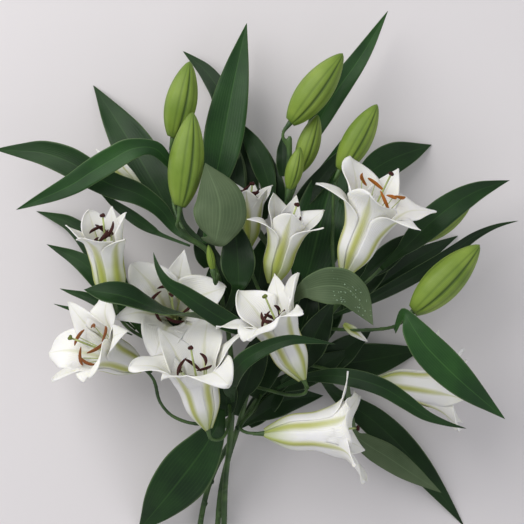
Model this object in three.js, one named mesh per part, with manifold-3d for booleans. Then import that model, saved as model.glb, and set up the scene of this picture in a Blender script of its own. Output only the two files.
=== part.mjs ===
// A bunch of cut white lilies, lying on a table: three leafy stems, ten flowers and nine buds.
// Millimetres, +Z up. The heads are toward +Y, the cut ends toward -Y, and the origin is on the
// table under the middle of the bunch.

import * as THREE from "three";
import { mergeVertices } from "three/addons/utils/BufferGeometryUtils.js";
import Module from "manifold-3d";

const wasm = await Module();
wasm.setup();

// Driving dimensions
const stemRadius = 4.3; // at the cut end
const stemTipRadius = 3.2; // under the topmost bud
const pedicelRadius = 2.6; // flower stalk
const leafThickness = 1.2;
const leafCup = 0.22; // rise of a leaf's edges, as a share of its half width
const petalThickness = 1.6;
const petalLength = 120;
const outerPetalWidth = 38;
const innerPetalWidth = 54;
const throatRadius = 3.5; // where the petals leave the stalk
const filamentRadius = 0.9;
const antherLength = 15;
const antherRadius = 1.7;
const styleRadius = 1.3;
const stigmaRadius = 3.6;
const attachGap = 0.4; // between a stalk and the flower or bud on its end
const leafGap = 1.2; // between a stalk and the midrib of a leaf on it
const mergeDistance = 1e-4;

const up = new THREE.Vector3(0, 0, 1);
const vector = (xyz) => new THREE.Vector3(...xyz);
const degrees = THREE.MathUtils.degToRad;
const { lerp, clamp } = THREE.MathUtils;

const finishes = {
  stem: { color: 0x4f7a35, roughness: 0.6, metalness: 0 },
  leaf: { color: 0x24472b, roughness: 0.45, metalness: 0 },
  bud: { color: 0x8aa845, roughness: 0.5, metalness: 0 },
  flower: { color: 0xf2f1ea, roughness: 0.6, metalness: 0 },
  stamens: { color: 0x8a4a24, roughness: 0.8, metalness: 0 },
};

const bunch = new THREE.Group();

function addPiece(name, geometry, finish) {
  geometry.computeVertexNormals();
  const piece = new THREE.Mesh(geometry, new THREE.MeshStandardMaterial(finishes[finish]));
  piece.name = name;
  bunch.add(piece);
  return piece;
}

// A closed skin over a grid: rows run along the piece and columns run round it. Its first and
// last rows each close to one point. place(column, row) gives the points. Where turned is true,
// a square is split along its other diagonal, so that the two faces of a thin wall match.
function closedSkin(columns, rows, place, turned = () => false) {
  const geometry = new THREE.SphereGeometry(1, columns, rows);
  const position = geometry.attributes.position;
  const at = (column, row) => row * (columns + 1) + column;
  for (let row = 0; row <= rows; row += 1) {
    for (let column = 0; column <= columns; column += 1) {
      const point = place(column % columns, row);
      position.setXYZ(at(column, row), point.x, point.y, point.z);
    }
  }
  const index = Array.from(geometry.index.array);
  for (let row = 1; row < rows - 1; row += 1) {
    for (let column = 0; column < columns; column += 1) {
      if (!turned(column, row)) continue;
      const near = [at(column, row), at(column + 1, row)];
      const far = [at(column, row + 1), at(column + 1, row + 1)];
      const first = 3 * (columns + (row - 1) * 2 * columns + column * 2);
      index.splice(first, 6, near[1], near[0], far[0], near[1], far[0], far[1]);
    }
  }
  geometry.setIndex(index);
  geometry.deleteAttribute("normal");
  geometry.deleteAttribute("uv");
  return mergeVertices(geometry, mergeDistance);
}

const smooth = (points) => new THREE.CatmullRomCurve3(points, false, "centripetal");

// A round tube along a path, with flat ends. radiusAt takes 0 at the start and 1 at the end.
function tube(points, radiusAt, sides, steps) {
  const path = smooth(points);
  const frames = path.computeFrenetFrames(steps, false);
  return closedSkin(sides, steps + 2, (column, row) => {
    const step = clamp(row - 1, 0, steps);
    const point = path.getPointAt(step / steps);
    if (row === 0 || row === steps + 2) return point;
    const angle = (column / sides) * 2 * Math.PI;
    const radius = radiusAt(step / steps);
    point.addScaledVector(frames.normals[step], radius * Math.cos(angle));
    point.addScaledVector(frames.binormals[step], -radius * Math.sin(angle));
    return point;
  });
}

function solid(geometry) {
  const vertProperties = new Float32Array(geometry.attributes.position.array);
  const triVerts = new Uint32Array(geometry.index.array);
  return new wasm.Manifold(new wasm.Mesh({ numProp: 3, vertProperties, triVerts }));
}

function joined(geometries) {
  const whole = geometries.map(solid).reduce((sum, next) => sum.add(next));
  const mesh = whole.getMesh();
  const geometry = new THREE.BufferGeometry();
  geometry.setAttribute("position", new THREE.BufferAttribute(mesh.vertProperties, 3));
  geometry.setIndex(new THREE.BufferAttribute(mesh.triVerts, 1));
  return geometry;
}

// Stands a piece modelled along +Z on its base point, heading the way it grows.
function seat(piece, { base, toward, roll = 0 }) {
  piece.position.copy(vector(base));
  piece.quaternion.setFromUnitVectors(up, vector(toward).normalize());
  piece.rotateZ(degrees(roll));
}

// ---- Leaves: a lance-shaped blade, channelled along its midrib ----

const leafColumns = 8;
const leafRows = 10;
const leafRoot = 0.16; // half width where it leaves the stalk, as a share of the broadest
const leafNeck = 0.34; // half width where the blade opens out
const neckReach = 25; // how far behind the open blade its stalk is looked for

function leafOutline(t, broadest) {
  if (t < broadest) return lerp(leafNeck, 1, Math.sin((t / broadest) * (Math.PI / 2)));
  return Math.cos(((t - broadest) / (1 - broadest)) * (Math.PI / 2)) ** 1.05;
}

// The point nearest to a given one on the skin of any stalk, a gap clear of it
function besideStalk(point) {
  let nearest = { distance: Infinity };
  for (const { curve, radius } of stalks) {
    for (const centre of curve.getSpacedPoints(stalkSamples)) {
      const distance = centre.distanceTo(point) - radius;
      if (distance < nearest.distance) nearest = { distance, centre, radius };
    }
  }
  const { centre, radius } = nearest;
  const away = point.clone().sub(centre).normalize();
  return centre.clone().addScaledVector(away, radius + leafGap);
}

// path: the midrib of the open blade, from foot to tip, and a neck joins it to the nearest stalk.
// roll turns the blade about its midrib at the foot, from its upper side facing up, twist is the
// turn added by the tip, and broadest is the share of the length at which the blade is widest.
function addLeaf(name, { path, width, roll = 0, twist = 0, broadest = 0.38, root }) {
  const blade = path.map(vector);
  const backward = blade[0].clone().sub(blade[1]).normalize();
  const foot = root ? vector(root) : besideStalk(
    blade[0].clone().addScaledVector(backward, neckReach));
  const midrib = smooth([foot, ...blade].map((point) => point.clone().sub(foot)));
  const neck = foot.distanceTo(blade[0]) / midrib.getLength();

  // The blade's crosswise direction at a share of the midrib, turned by some degrees
  function crosswise(t, turn) {
    const along = midrib.getTangentAt(t);
    const upper = up.clone().addScaledVector(along, -along.z).normalize();
    return upper.applyAxisAngle(along, degrees(turn)).cross(along);
  }

  const last = leafRows - 1;
  const geometry = closedSkin(leafColumns, leafRows, (column, row) => {
    const step = clamp(row - 1, 0, last);
    const open = Math.max(step - 1, 0) / (last - 1); // share of the open blade
    const t = step === 0 ? 0 : lerp(neck, 1, open);
    const point = midrib.getPointAt(t);
    if (row === 0 || row === leafRows) return point;
    const along = midrib.getTangentAt(t);
    const across = crosswise(Math.max(t, neck), roll + twist * open);
    across.addScaledVector(along, -across.dot(along)).normalize();
    const upper = along.clone().cross(across);
    const angle = (column / leafColumns) * 2 * Math.PI;
    const halfWidth = (width / 2) * (step === 0 ? leafRoot : leafOutline(open, broadest));
    const rise = leafCup * halfWidth * Math.cos(angle) ** 2;
    point.addScaledVector(across, halfWidth * Math.cos(angle));
    point.addScaledVector(upper, rise - (leafThickness / 2) * Math.sin(angle));
    return point;
  }, (column) => column >= leafColumns / 2);
  addPiece(name, geometry, "leaf").position.copy(foot);
}

// ---- Buds: six closed petals, drawn as a spindle with three low ridges ----

const budColumns = 12;
const budRows = 9;
const budRidge = 0.06;

function addBud(name, { base, tip, radius, roll = 0 }) {
  const heading = vector(tip).sub(vector(base));
  const length = heading.length();
  const geometry = closedSkin(budColumns, budRows, (column, row) => {
    const t = Math.max(row - 1, 0) / (budRows - 1);
    const point = new THREE.Vector3(0, 0, length * t);
    if (row === 0 || row === budRows) return point;
    const angle = -(column / budColumns) * 2 * Math.PI;
    const swell = Math.sin(Math.PI * Math.pow(0.03 + 0.97 * t, 0.85)) ** 0.8;
    const reach = radius * swell * (1 + budRidge * Math.cos(3 * angle));
    point.x = reach * Math.cos(angle);
    point.y = reach * Math.sin(angle);
    return point;
  });
  seat(addPiece(name, geometry, "bud"), { base, toward: heading.toArray(), roll });
}

// ---- Flowers: six petals joined into a trumpet low down, free and curling above ----

const petals = 6;
const columnsPerPetal = 4; // the join, the left half, the midrib, the right half
const flowerColumns = petals * columnsPerPetal;
const reachOfColumn = [0.42, 0.75, 1, 0.75]; // how far along the petals each column runs
const sideOfColumn = [0, -1, 0, 1];
const shares = [0, 0.25, 0.5, 0.75, 1]; // where the rows lie along each column, outside
const flowerRows = 2 * shares.length;
const innerPetalSpread = 35; // degrees from its midrib to the join with the next petal
const outerPetalSpread = 60 - innerPetalSpread;
const edgeSpread = 0.74; // share of that spread that a petal's own edge may take
const throatHeight = 0.05; // where the inside starts, as a share of the petal's length
const bellyEnd = 0.26; // shares of the petal's length
const tubeEnd = 0.48;

// Which way a midrib heads, away from the flower's axis: out round the belly, straight up the
// tube, then over to the curled tip.
function headingAt(s, flare, curl) {
  if (s < bellyEnd) return degrees(lerp(58, 4, Math.pow(s / bellyEnd, 0.7)));
  if (s < tubeEnd) return degrees(lerp(4, flare, (s - bellyEnd) / (tubeEnd - bellyEnd)));
  return degrees(lerp(flare, curl, Math.pow((s - tubeEnd) / (1 - tubeEnd), 1.3)));
}

// The midrib in its own plane, walked from the base.
function midribAt(s, length, flare, curl) {
  const steps = 24;
  const stride = (s * length) / steps;
  let out = throatRadius;
  let height = 0;
  for (let step = 0; step < steps; step += 1) {
    const heading = headingAt(((step + 0.5) / steps) * s, flare, curl);
    out += Math.sin(heading) * stride;
    height += Math.cos(heading) * stride;
  }
  return { out, height, heading: headingAt(s, flare, curl) };
}

function petalOutline(s) {
  return Math.sin(Math.PI * Math.pow(lerp(0.14, 1, s), 1.15)) ** 0.75;
}

function addFlower(name, spec) {
  const { length = petalLength, flare = 14, curls, scale = 1 } = spec;

  // A point of the wall, a depth in from its outside
  function wall(column, share, depth) {
    const petal = Math.floor(column / columnsPerPetal);
    const part = column % columnsPerPetal;
    const limit = reachOfColumn[part];
    const s = limit * (1 - Math.pow(1 - share, 1 / limit)); // the rows draw together at the rim
    const before = curls[(petal + petals - 1) % petals];
    const curl = part === 0 ? (curls[petal] + before) / 2 : curls[petal];
    const rib = midribAt(s, length, flare, curl);
    const isOuter = petal % 2 === 1;
    const width = (isOuter ? outerPetalWidth : innerPetalWidth) * scale * petalOutline(s);
    const joinSpread = degrees(isOuter ? outerPetalSpread : innerPetalSpread);
    const spread = Math.min(joinSpread * edgeSpread, Math.atan(width / 2 / rib.out));
    const join = part === 0 ? -joinSpread : sideOfColumn[part] * spread;
    const angle = -((petal / petals) * 2 * Math.PI + join);
    const reach = rib.out - depth * Math.cos(rib.heading);
    const height = rib.height + depth * Math.sin(rib.heading);
    return new THREE.Vector3(reach * Math.cos(angle), reach * Math.sin(angle), height);
  }

  const geometry = closedSkin(flowerColumns, flowerRows, (column, row) => {
    if (row === 0) return new THREE.Vector3(0, 0, 0);
    if (row === flowerRows) return new THREE.Vector3(0, 0, length * throatHeight);
    if (row <= shares.length) return wall(column, shares[row - 1], 0);
    return wall(column, shares[flowerRows - row], petalThickness);
  }, (column, row) => row > shares.length);
  seat(addPiece(name, geometry, "flower"), spec);
}

// ---- Stamens and pistil: six filaments with swinging anthers round one style ----

function addStamens(name, spec) {
  const { length = petalLength, stamenReach = 76, stamenSpread = 15, styleReach = 92 } = spec;
  const floor = length * throatHeight + 4;
  const pieces = [];
  const disc = [new THREE.Vector3(0, 0, floor), new THREE.Vector3(0, 0, floor + 5)];
  pieces.push(tube(disc, () => 3, 6, 1));
  for (let stamen = 0; stamen < petals; stamen += 1) {
    const turn = ((stamen + 0.5) / petals) * 2 * Math.PI;
    const outward = new THREE.Vector3(Math.cos(turn), Math.sin(turn), 0);
    const reach = stamenReach * (1 - 0.06 * (stamen % 3));
    const end = outward.clone().multiplyScalar(stamenSpread).setZ(reach);
    const filament = [
      outward.clone().multiplyScalar(2).setZ(floor + 2),
      outward.clone().multiplyScalar(stamenSpread * 0.35).setZ(lerp(floor, reach, 0.5)),
      end,
    ];
    pieces.push(tube(filament, () => filamentRadius, 4, 3));
    const swing = new THREE.Vector3(Math.sin(stamen * 2.1), Math.cos(stamen * 2.1), 0.8);
    swing.addScaledVector(outward, 0.3).setLength(antherLength / 2);
    const anther = [end.clone().sub(swing), end.clone(), end.clone().add(swing)];
    pieces.push(tube(anther, (t) => antherRadius * (0.55 + 0.45 * Math.sin(Math.PI * t)), 5, 3));
  }
  const lean = 3;
  const style = [
    new THREE.Vector3(0, 0, floor + 2),
    new THREE.Vector3(0, 0, styleReach * 0.55),
    new THREE.Vector3(lean, 0, styleReach),
  ];
  pieces.push(tube(style, () => styleRadius, 5, 3));
  const stigma = [
    new THREE.Vector3(lean, 0, styleReach - 2),
    new THREE.Vector3(lean, 0, styleReach + 3),
  ];
  pieces.push(tube(stigma, (t) => stigmaRadius * (0.6 + 0.4 * t), 6, 2));
  seat(addPiece(name, joined(pieces), "stamens"), spec);
}

// ---- Stems: a main stalk with the flower stalks that leave it ----

const stemSides = 6;

function stalkEnd({ base, toward, tip }) {
  const foot = vector(base);
  const heading = (tip ? vector(tip).sub(foot) : vector(toward)).normalize();
  return [
    foot.clone().addScaledVector(heading, -16),
    foot.clone().addScaledVector(heading, -attachGap),
  ];
}

const stalkSamples = 60;
const stalks = []; // every stalk's centre line and radius, for the leaves to stand on

function addStem(name, path, branches) {
  const points = path.map(vector);
  const pieces = [tube(points, (t) => lerp(stemRadius, stemTipRadius, t), stemSides, 14)];
  stalks.push({ curve: smooth(points), radius: stemRadius });
  for (const { via, to } of branches) {
    const branch = [...via.map(vector), ...stalkEnd(to)];
    pieces.push(tube(branch, () => pedicelRadius, stemSides, 6));
    stalks.push({ curve: smooth(branch), radius: pedicelRadius });
  }
  addPiece(name, joined(pieces), "stem");
}

// ---- Where each flower stands, the way it faces, and how far each of its petals curls ----
// base is the end of its stalk, toward is its axis, roll turns its first petal, and curls are the
// headings of the six petal tips in degrees from the axis: inner and outer petals in turn.

const flowers = {
  flower_left_half_open: {
    base: [-163, -44, 112], toward: [-0.12, 0.88, 0.38], roll: 8,
    length: 108, flare: 3, curls: [22, 84, 62, 52, 24, 16], scale: 0.8,
  },
  flower_left_upper: {
    base: [-97, -68, 33], toward: [-0.05, 0.3, 0.95], roll: 135,
    length: 110, flare: 20, curls: [100, 80, 100, 105, 112, 108], stamens: true,
  },
  flower_left_lower: {
    base: [-134, -119, 54], toward: [-0.72, 0.36, 0.56], roll: 303,
    length: 116, flare: 18, curls: [75, 55, 100, 70, 100, 118], stamens: true,
  },
  flower_front_left: {
    base: [-60, -183, 118], toward: [-0.2, 0.9, 0.4], roll: 312,
    length: 126, flare: 14, curls: [140, 92, 100, 62, 55, 75], stamens: true,
  },
  flower_front_middle: {
    base: [45, -128, 134], toward: [-0.42, 0.85, 0.24], roll: 26,
    length: 122, flare: 8, curls: [52, 125, 130, 92, 40, 48], scale: 0.9,
  },
  flower_centre_half_open: {
    base: [11, -23, 92], toward: [0.25, 0.88, 0.36], roll: 254,
    length: 102, flare: 5, curls: [30, 112, 28, 20, 52, 70], scale: 0.72,
  },
  flower_centre_opening: {
    base: [-15, 19, 74], toward: [0.02, 0.95, 0.24], roll: 20,
    length: 72, flare: 8, curls: [40, 30, 30, 30, 30, 40], scale: 0.55,
  },
  flower_right_upper: {
    base: [91, -14, 118], toward: [0.36, 0.86, 0.34], roll: 237,
    length: 134, flare: 12, curls: [62, 118, 60, 50, 100, 108], stamens: true,
  },
  flower_right_lower: {
    base: [3, -188, 132], toward: [0.98, 0.04, 0.1], roll: 157,
    length: 128, flare: 8, curls: [96, 108, 92, 80, 72, 88],
  },
  flower_right_behind: {
    base: [128, -134, 62], toward: [0.96, -0.12, 0.1], roll: 0,
    length: 112, flare: 8, curls: [60, 50, 50, 50, 60, 80], scale: 0.9,
  },
};

const buds = {
  bud_left_top: { base: [-99, 137, 92], tip: [-80, 222, 104], radius: 16.5 },
  bud_left_front: { base: [-90, 60, 128], tip: [-76, 164, 142], radius: 18 },
  bud_middle_top: { base: [31, 154, 98], tip: [89, 230, 116], radius: 17.5 },
  bud_middle_behind: { base: [42, 101, 78], tip: [62, 164, 86], radius: 12 },
  bud_middle_small: { base: [30, 80, 104], tip: [42, 127, 113], radius: 9 },
  bud_right_top: { base: [86, 101, 100], tip: [127, 174, 114], radius: 15 },
  bud_right_low: { base: [165, -55, 130], tip: [238, 19, 140], radius: 19 },
  bud_right_shaded: { base: [168, 24, 72], tip: [234, 68, 80], radius: 14 },
  bud_left_small: { base: [-54, -10, 120], tip: [-59, 19, 123], radius: 4.2 },
};

// ---- Where each leaf runs, from foot to tip ----

const leaves = {
  leaf_far_left: {
    path: [[-95, 36, 88], [-123, 68, 92], [-173, 88, 92], [-233, 119, 84], [-301, 126, 66]],
    width: 32, broadest: 0.6,
  },
  leaf_left_arching: {
    path: [[-102, 108, 110], [-126, 128, 122], [-167, 112, 120], [-211, 85, 110], [-274, 58, 84]],
    width: 27, broadest: 0.45,
  },
  leaf_left_big: {
    path: [[-92, 40, 60], [-119, 84, 48], [-154, 143, 30], [-193, 202, 0.4]], width: 50,
  },
  leaf_left_wavy: {
    path: [[-112, 30, 78], [-150, 54, 74], [-184, 80, 66]], width: 13,
    root: [-80, 18, 99],
  },
  leaf_left_upper: {
    path: [[-148, -50, 22], [-188, 12, 20], [-216, 42, 14], [-258, 58, 0.4]], width: 27,
  },
  leaf_left_middle: { path: [[-150, -60, 42], [-198, -4, 40], [-244, 20, 30]], width: 25 },
  leaf_left_low: { path: [[-160, -60, 56], [-190, -42, 56], [-228, -30, 48]], width: 11 },
  leaf_left_crossing: {
    path: [[-19, -75, 120], [-60, -62, 138], [-105, -55, 149], [-148, -38, 156], [-194, -30, 150]],
    width: 35, roll: 150, twist: -140, broadest: 0.74, root: [-35, -72, 87],
  },
  leaf_left_thin: {
    path: [[-160, -76, 52], [-200, -58, 52], [-235, -47, 44]], width: 7, root: [-146, -82, 59],
  },
  leaf_centre_crossing: {
    path: [[-13, -80, 131], [-50, -58, 147], [-85, -34, 160], [-107, -18, 164], [-118, 11, 160]],
    width: 22, broadest: 0.3, root: [-34, -84, 85],
  },
  leaf_centre_broad: {
    path: [[-52, 22, 140], [-46, 62, 150], [-62, 108, 144]], width: 58, roll: 180,
    root: [-64, 24, 109],
  },
  leaf_centre_dark: { path: [[-27, -30, 110], [-27, 8, 114], [-31, 50, 112]], width: 38 },
  leaf_top_tall: {
    path: [[-57, 68, 72], [-46, 123, 72], [-32, 200, 60], [-17, 270, 40]], width: 44,
  },
  leaf_top_left: {
    path: [[-50, 130, 40], [-45, 182, 34], [-62, 214, 26], [-90, 240, 14]], width: 22,
    broadest: 0.5,
  },
  leaf_top_grey: {
    path: [[-24, 63, 56], [-34, 110, 56], [-40, 156, 50]], width: 30, roll: 180,
    root: [15, 8, 60],
  },
  leaf_top_band: { path: [[12, 74, 60], [-4, 120, 56], [-29, 162, 44]], width: 24 },
  leaf_top_right: {
    path: [[46, 122, 56], [76, 180, 60], [113, 234, 60], [142, 283, 50]], width: 26,
    root: [34, 92, 72],
  },
  leaf_middle_broad: {
    path: [[42, -31, 66], [69, 57, 62], [91, 140, 44]], width: 62, root: [21, -44, 66],
  },
  leaf_right_dark: {
    path: [[108, 90, 54], [142, 114, 34], [194, 134, 0.4]], width: 36,
    root: [87, 66, 80],
  },
  leaf_right_long: {
    path: [[152, 10, 98], [200, 55, 104], [237, 78, 98], [276, 91, 84]], width: 32,
  },
  leaf_right_reaching: {
    path: [[97, -53, 84], [152, -25, 92], [196, 0, 90], [248, 35, 80], [287, 46, 70]], width: 16,
  },
  leaf_right_shaded: {
    path: [[124, -31, 44], [170, 0, 30], [224, 30, 0.4]], width: 24, root: [101, -40, 64],
  },
  leaf_right_inner: {
    path: [[116, -16, 62], [145, 10, 60], [180, 36, 52]], width: 26, root: [103, -28, 66],
  },
  leaf_right_curled: {
    path: [[42, -33, 150], [68, -26, 160], [94, -30, 164], [121, -69, 158]], width: 40,
    root: [17, -54, 88],
  },
  leaf_behind_trumpet: { path: [[42, -119, 74], [60, -80, 80], [80, -42, 84]], width: 34 },
  leaf_right_front: {
    path: [[155, -57, 146], [172, -84, 154], [208, -122, 156], [266, -172, 140]], width: 38,
    root: [146, -76, 124],
  },
  leaf_right_horizontal: { path: [[58, -119, 22], [120, -112, 14], [186, -99, 0.4]], width: 40 },
  leaf_over_trumpet: {
    path: [[-33, -150, 90], [-35, -132, 142], [-19, -106, 180], [28, -84, 192], [80, -89, 172]],
    width: 19,
  },
  leaf_right_twisted: {
    path: [[42, -130, 96], [91, -126, 124], [135, -139, 132], [185, -171, 126], [226, -184, 110]],
    width: 20,
  },
  leaf_low_right_long: {
    path: [[80, -146, 26], [131, -184, 20], [170, -223, 12], [204, -265, 6], [231, -302, 0.4]],
    width: 34,
  },
  leaf_low_right_grey: {
    path: [[102, -189, 50], [148, -224, 46], [203, -261, 32]], width: 28, roll: 180,
  },
  leaf_low_left_big: {
    path: [[-50, -182, 86], [-70, -215, 78], [-103, -259, 46], [-142, -308, 0.4]], width: 58,
    root: [-46, -164, 76],
  },
  leaf_beside_stem: { path: [[-22, -150, 68], [-10, -112, 84], [6, -66, 92]], width: 32 },
  leaf_low_middle: { path: [[-8, -176, 40], [24, -158, 26], [70, -152, 12]], width: 30 },
};

// ---- Placing everything ----

const stems = {
  stem_left: {
    path: [
      [-43, -416, 4.5], [-43, -288, 24], [-41, -240, 36], [-34, -185, 52], [-33, -135, 66],
      [-36, -86, 78], [-45, -42, 84], [-54, 8, 96], [-68, 21, 104], [-90, 30, 110],
    ],
    branches: [
      { via: [[-82, 27, 108], [-94, 40, 114]], to: buds.bud_left_front },
      { via: [[-82, 27, 108], [-98, 60, 98], [-99, 103, 90]], to: buds.bud_left_top },
      { via: [[-34, -180, 54], [-76, -183, 52], [-114, -165, 46]], to: flowers.flower_left_lower },
      { via: [[-37, -157, 60], [-36, -176, 90], [-42, -196, 104]], to: flowers.flower_front_left },
      { via: [[-33, -124, 70], [-80, -106, 38], [-130, -88, 36]], to: flowers.flower_left_half_open },
      { via: [[-34, -112, 71], [-66, -96, 42]], to: flowers.flower_left_upper },
      { via: [[-48, -18, 90], [-49, -16, 104]], to: buds.bud_left_small },
    ],
  },
  stem_middle: {
    path: [
      [-53, -427, 4.5], [-50, -288, 12], [-44, -240, 22], [-26, -185, 38], [-14, -135, 56],
      [0, -86, 70], [12, -42, 70], [22, 13, 68], [28, 68, 78], [30, 112, 86], [31, 140, 92],
    ],
    branches: [
      { via: [[30, 104, 85], [31, 125, 89]], to: buds.bud_middle_top },
      { via: [[28, 62, 77], [36, 82, 76]], to: buds.bud_middle_behind },
      { via: [[26, 44, 73], [28, 62, 84]], to: buds.bud_middle_small },
      { via: [[-16, -138, 56], [4, -142, 78], [34, -148, 106]], to: flowers.flower_front_middle },
      { via: [[4, -74, 70], [8, -56, 78]], to: flowers.flower_centre_half_open },
      { via: [[8, -56, 70], [-10, -16, 68]], to: flowers.flower_centre_opening },
    ],
  },
  stem_right: {
    path: [
      [-81, -416, 4.5], [-69, -288, 10], [-56, -240, 12], [-24, -185, 24], [0, -146, 36],
      [29, -110, 50], [62, -75, 62], [88, -44, 72], [96, -34, 80],
    ],
    branches: [
      { via: [[88, -44, 73], [94, -38, 92]], to: flowers.flower_right_upper },
      { via: [[64, -74, 63], [110, -76, 84], [146, -72, 112]], to: buds.bud_right_low },
      { via: [[86, -47, 70], [78, 13, 82], [80, 68, 90]], to: buds.bud_right_top },
      { via: [[88, -44, 72], [120, -20, 72]], to: buds.bud_right_shaded },
      { via: [[0, -148, 36], [-10, -166, 70], [-26, -184, 108]], to: flowers.flower_right_lower },
      { via: [[28, -112, 50], [64, -118, 52]], to: flowers.flower_right_behind },
    ],
  },
};

for (const [name, { path, branches }] of Object.entries(stems)) addStem(name, path, branches);
for (const [name, spec] of Object.entries(flowers)) {
  addFlower(name, spec);
  if (spec.stamens) addStamens(name.replace("flower", "stamens"), spec);
}
for (const [name, spec] of Object.entries(buds)) addBud(name, spec);
for (const [name, spec] of Object.entries(leaves)) addLeaf(name, spec);

// The bunch stands on the table plane, over the middle of its box.
const box = new THREE.Box3().setFromObject(bunch, true);
const middle = box.getCenter(new THREE.Vector3());
bunch.position.set(-middle.x, -middle.y, -box.min.z);

export default bunch;
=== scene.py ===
import math
import random

import bmesh
import bpy
from mathutils import Matrix, Vector


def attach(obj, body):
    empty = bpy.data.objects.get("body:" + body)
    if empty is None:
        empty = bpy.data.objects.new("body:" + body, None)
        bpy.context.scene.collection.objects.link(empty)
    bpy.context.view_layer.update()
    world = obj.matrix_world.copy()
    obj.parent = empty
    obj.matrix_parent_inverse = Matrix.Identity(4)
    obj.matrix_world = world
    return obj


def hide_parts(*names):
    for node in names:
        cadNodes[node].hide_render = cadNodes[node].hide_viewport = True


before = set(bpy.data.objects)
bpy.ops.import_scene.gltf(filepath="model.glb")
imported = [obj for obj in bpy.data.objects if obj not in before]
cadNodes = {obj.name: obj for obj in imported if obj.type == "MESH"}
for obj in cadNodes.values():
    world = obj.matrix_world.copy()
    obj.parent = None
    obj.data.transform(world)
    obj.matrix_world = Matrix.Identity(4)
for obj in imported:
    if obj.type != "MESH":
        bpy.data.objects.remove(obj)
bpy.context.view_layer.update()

weldDistance = 1e-6
sheetWeld = 2e-5  # for the points that a sheet's ends pinch together
print("frame loaded:", len(cadNodes), "nodes")


# Opens a CAD piece's closed skin into layers of points, each one step further from its foot
def openSkin(name):
    bm = bmesh.new()
    bm.from_mesh(cadNodes[name].data)
    bmesh.ops.remove_doubles(bm, verts=bm.verts, dist=weldDistance)
    poles = sorted(bm.verts, key=lambda vert: len(vert.link_edges))[-2:]
    foot, tip = sorted(poles, key=lambda pole: min(e.calc_length() for e in pole.link_edges))
    layers = [{foot}]
    seen = {foot}
    while tip not in layers[-1]:
        layers.append({e.other_vert(vert) for vert in layers[-1] for e in vert.link_edges} - seen)
        seen |= layers[-1]
    return bm, foot, tip, layers


def nearVerts(vert):
    return {edge.other_vert(vert) for edge in vert.link_edges}


# Rings of a bud or flower, in growing order, with the same column at the same place in each
def skinRings(name, count):
    bm, foot, tip, layers = openSkin(name)
    following = {}
    for face in foot.link_faces:
        corner = next(loop for loop in face.loops if loop.vert == foot)
        following[corner.link_loop_next.vert] = corner.link_loop_prev.vert
    ring = [min(following, key=lambda vert: vert.index)]
    while len(ring) < len(following):
        ring.append(following[ring[-1]])
    rings = [ring]
    for layer in layers[2:count + 1]:
        before = rings[-1]
        rings.append([(nearVerts(before[j - 1]) & nearVerts(before[j]) & layer).pop()
                      for j in range(len(before))])
    start, end = foot.co.copy(), tip.co.copy()
    places = [[vert.co.copy() for vert in ring] for ring in rings]
    bm.free()
    return start, places, end


# A leaf's midrib, half widths and rises of its margins, from its foot to its tip
def leafLines(name):
    bm, foot, tip, layers = openSkin(name)
    centres, reaches, rises = [], [], []
    for inner, layer, outer in zip(layers, layers[1:], layers[2:]):
        start = max(layer, key=lambda vert: len(nearVerts(vert) & outer) - len(nearVerts(vert) & inner))
        ring = [start]
        while len(ring) < len(layer):
            ring.append(min((nearVerts(ring[-1]) & layer) - set(ring), key=lambda vert: vert.index))
        points = [vert.co.copy() for vert in ring]
        half, quarter = len(ring) // 2, len(ring) // 4
        centre = (points[quarter] + points[quarter + half]) / 2
        centres.append(centre)
        reaches.append((points[half] - points[0]) / 2)
        rises.append((points[half] + points[0]) / 2 - centre)
    centres.append(tip.co.copy())
    reaches.append(Vector((0, 0, 0)))
    rises.append(Vector((0, 0, 0)))
    bm.free()
    return centres, reaches, rises


shareStep = 0.02  # of a line's length, to find the way it heads


# A smooth line through evenly spaced values, which are points or plain numbers
def smoothAt(values, share):
    last = len(values) - 1
    place = min(max(share, 0.0), 1.0) * last
    i = min(int(place), last - 1)
    f = place - i
    a, b = values[max(i - 1, 0)], values[i]
    c, d = values[i + 1], values[min(i + 2, last)]
    bend = (a * 2 - b * 5 + c * 4 - d) * (f * f)
    twist = (b * 3 - a - c * 3 + d) * (f * f * f)
    return (b * 2 + (c - a) * f + bend + twist) * 0.5


# 0 at low and 1 at high, or the other way round if low is the greater
def ease(low, high, value):
    share = min(max((value - low) / (high - low), 0.0), 1.0)
    return share * share * (3 - 2 * share)


def mean(points):
    return sum(points, Vector((0, 0, 0))) / len(points)


# Half the width along a leaf, petal or bud, as a share of the widest. The whole outline is pointed
# at both ends, and start is how much of it the foot leaves off
def outlineAt(share, start, power, pinch):
    return math.sin(math.pi * (start + (1 - start) * share) ** power) ** pinch


# A smooth hump of height 1
def hump(value, place, width):
    return math.exp(-((value - place) / width) ** 2)


def lineLength(points):
    return sum((after - before).length for before, after in zip(points, points[1:]))


plantLook = {
    "scatter": (0.004, 0.004, 0.002),  # how deep red, green and blue light goes in
    "coatRoughness": 0.35,
}


# Gives a socket its value, which may be another node's output
def feed(tree, socket, value):
    if isinstance(value, bpy.types.NodeSocket):
        tree.links.new(value, socket)
    else:
        socket.default_value = value


def addNode(tree, kind, settings=None, **inputs):
    node = tree.nodes.new("ShaderNode" + kind)
    for key, value in (settings or {}).items():
        setattr(node, key, value)
    for key, value in inputs.items():
        feed(tree, node.inputs[key], value)
    return node


def calculate(tree, operation, *values):
    node = addNode(tree, "Math", {"operation": operation})
    for socket, value in zip(node.inputs, values):
        feed(tree, socket, value)
    return node.outputs[0]


# 0 below low, 1 above high, smooth between
def ramp(tree, value, low, high):
    node = addNode(tree, "MapRange", {"interpolation_type": "SMOOTHSTEP", "clamp": True}, Value=value)
    node.inputs["From Min"].default_value = low
    node.inputs["From Max"].default_value = high
    return node.outputs["Result"]


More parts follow.
